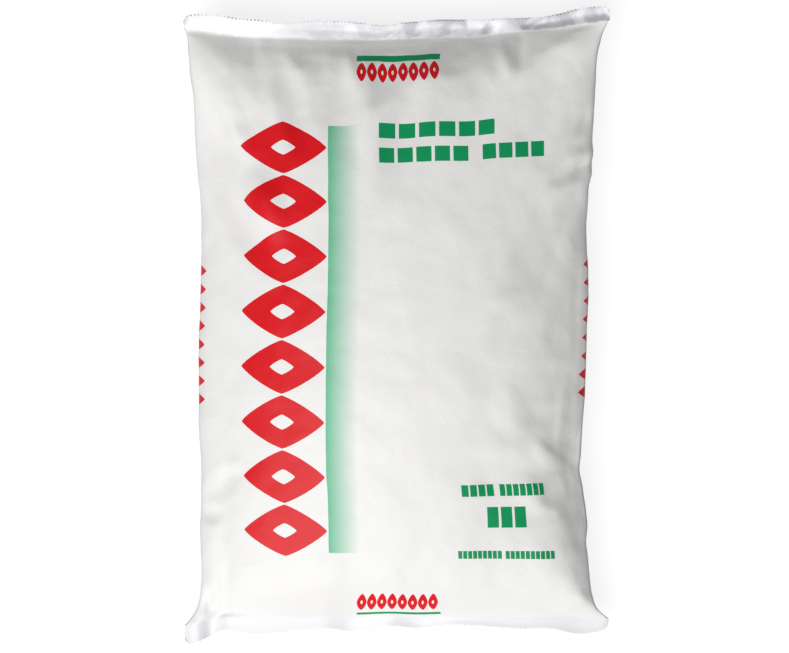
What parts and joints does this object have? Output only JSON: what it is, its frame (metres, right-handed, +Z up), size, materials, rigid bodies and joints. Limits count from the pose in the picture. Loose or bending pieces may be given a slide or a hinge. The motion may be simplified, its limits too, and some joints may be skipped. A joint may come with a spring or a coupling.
{
  "type": "sugar bag",
  "caption": "Filled pillow pack of sugar in glossy film, with a flat seal across each end, lying on its back with its printed face up.",
  "frame": {"origin": "middle of the pack's footprint, on the surface that it rests on", "axes": "+Z up, out of the printed face; +Y towards the pack's top seal; +X across it, to the right of the print"},
  "size_m": [0.169, 0.2536, 0.0464],
  "materials": {
    "film": "white glossy film, printed"
  },
  "bodies": {
    "root": {"sugar_pack": "film"}
  },
  "joints": []
}
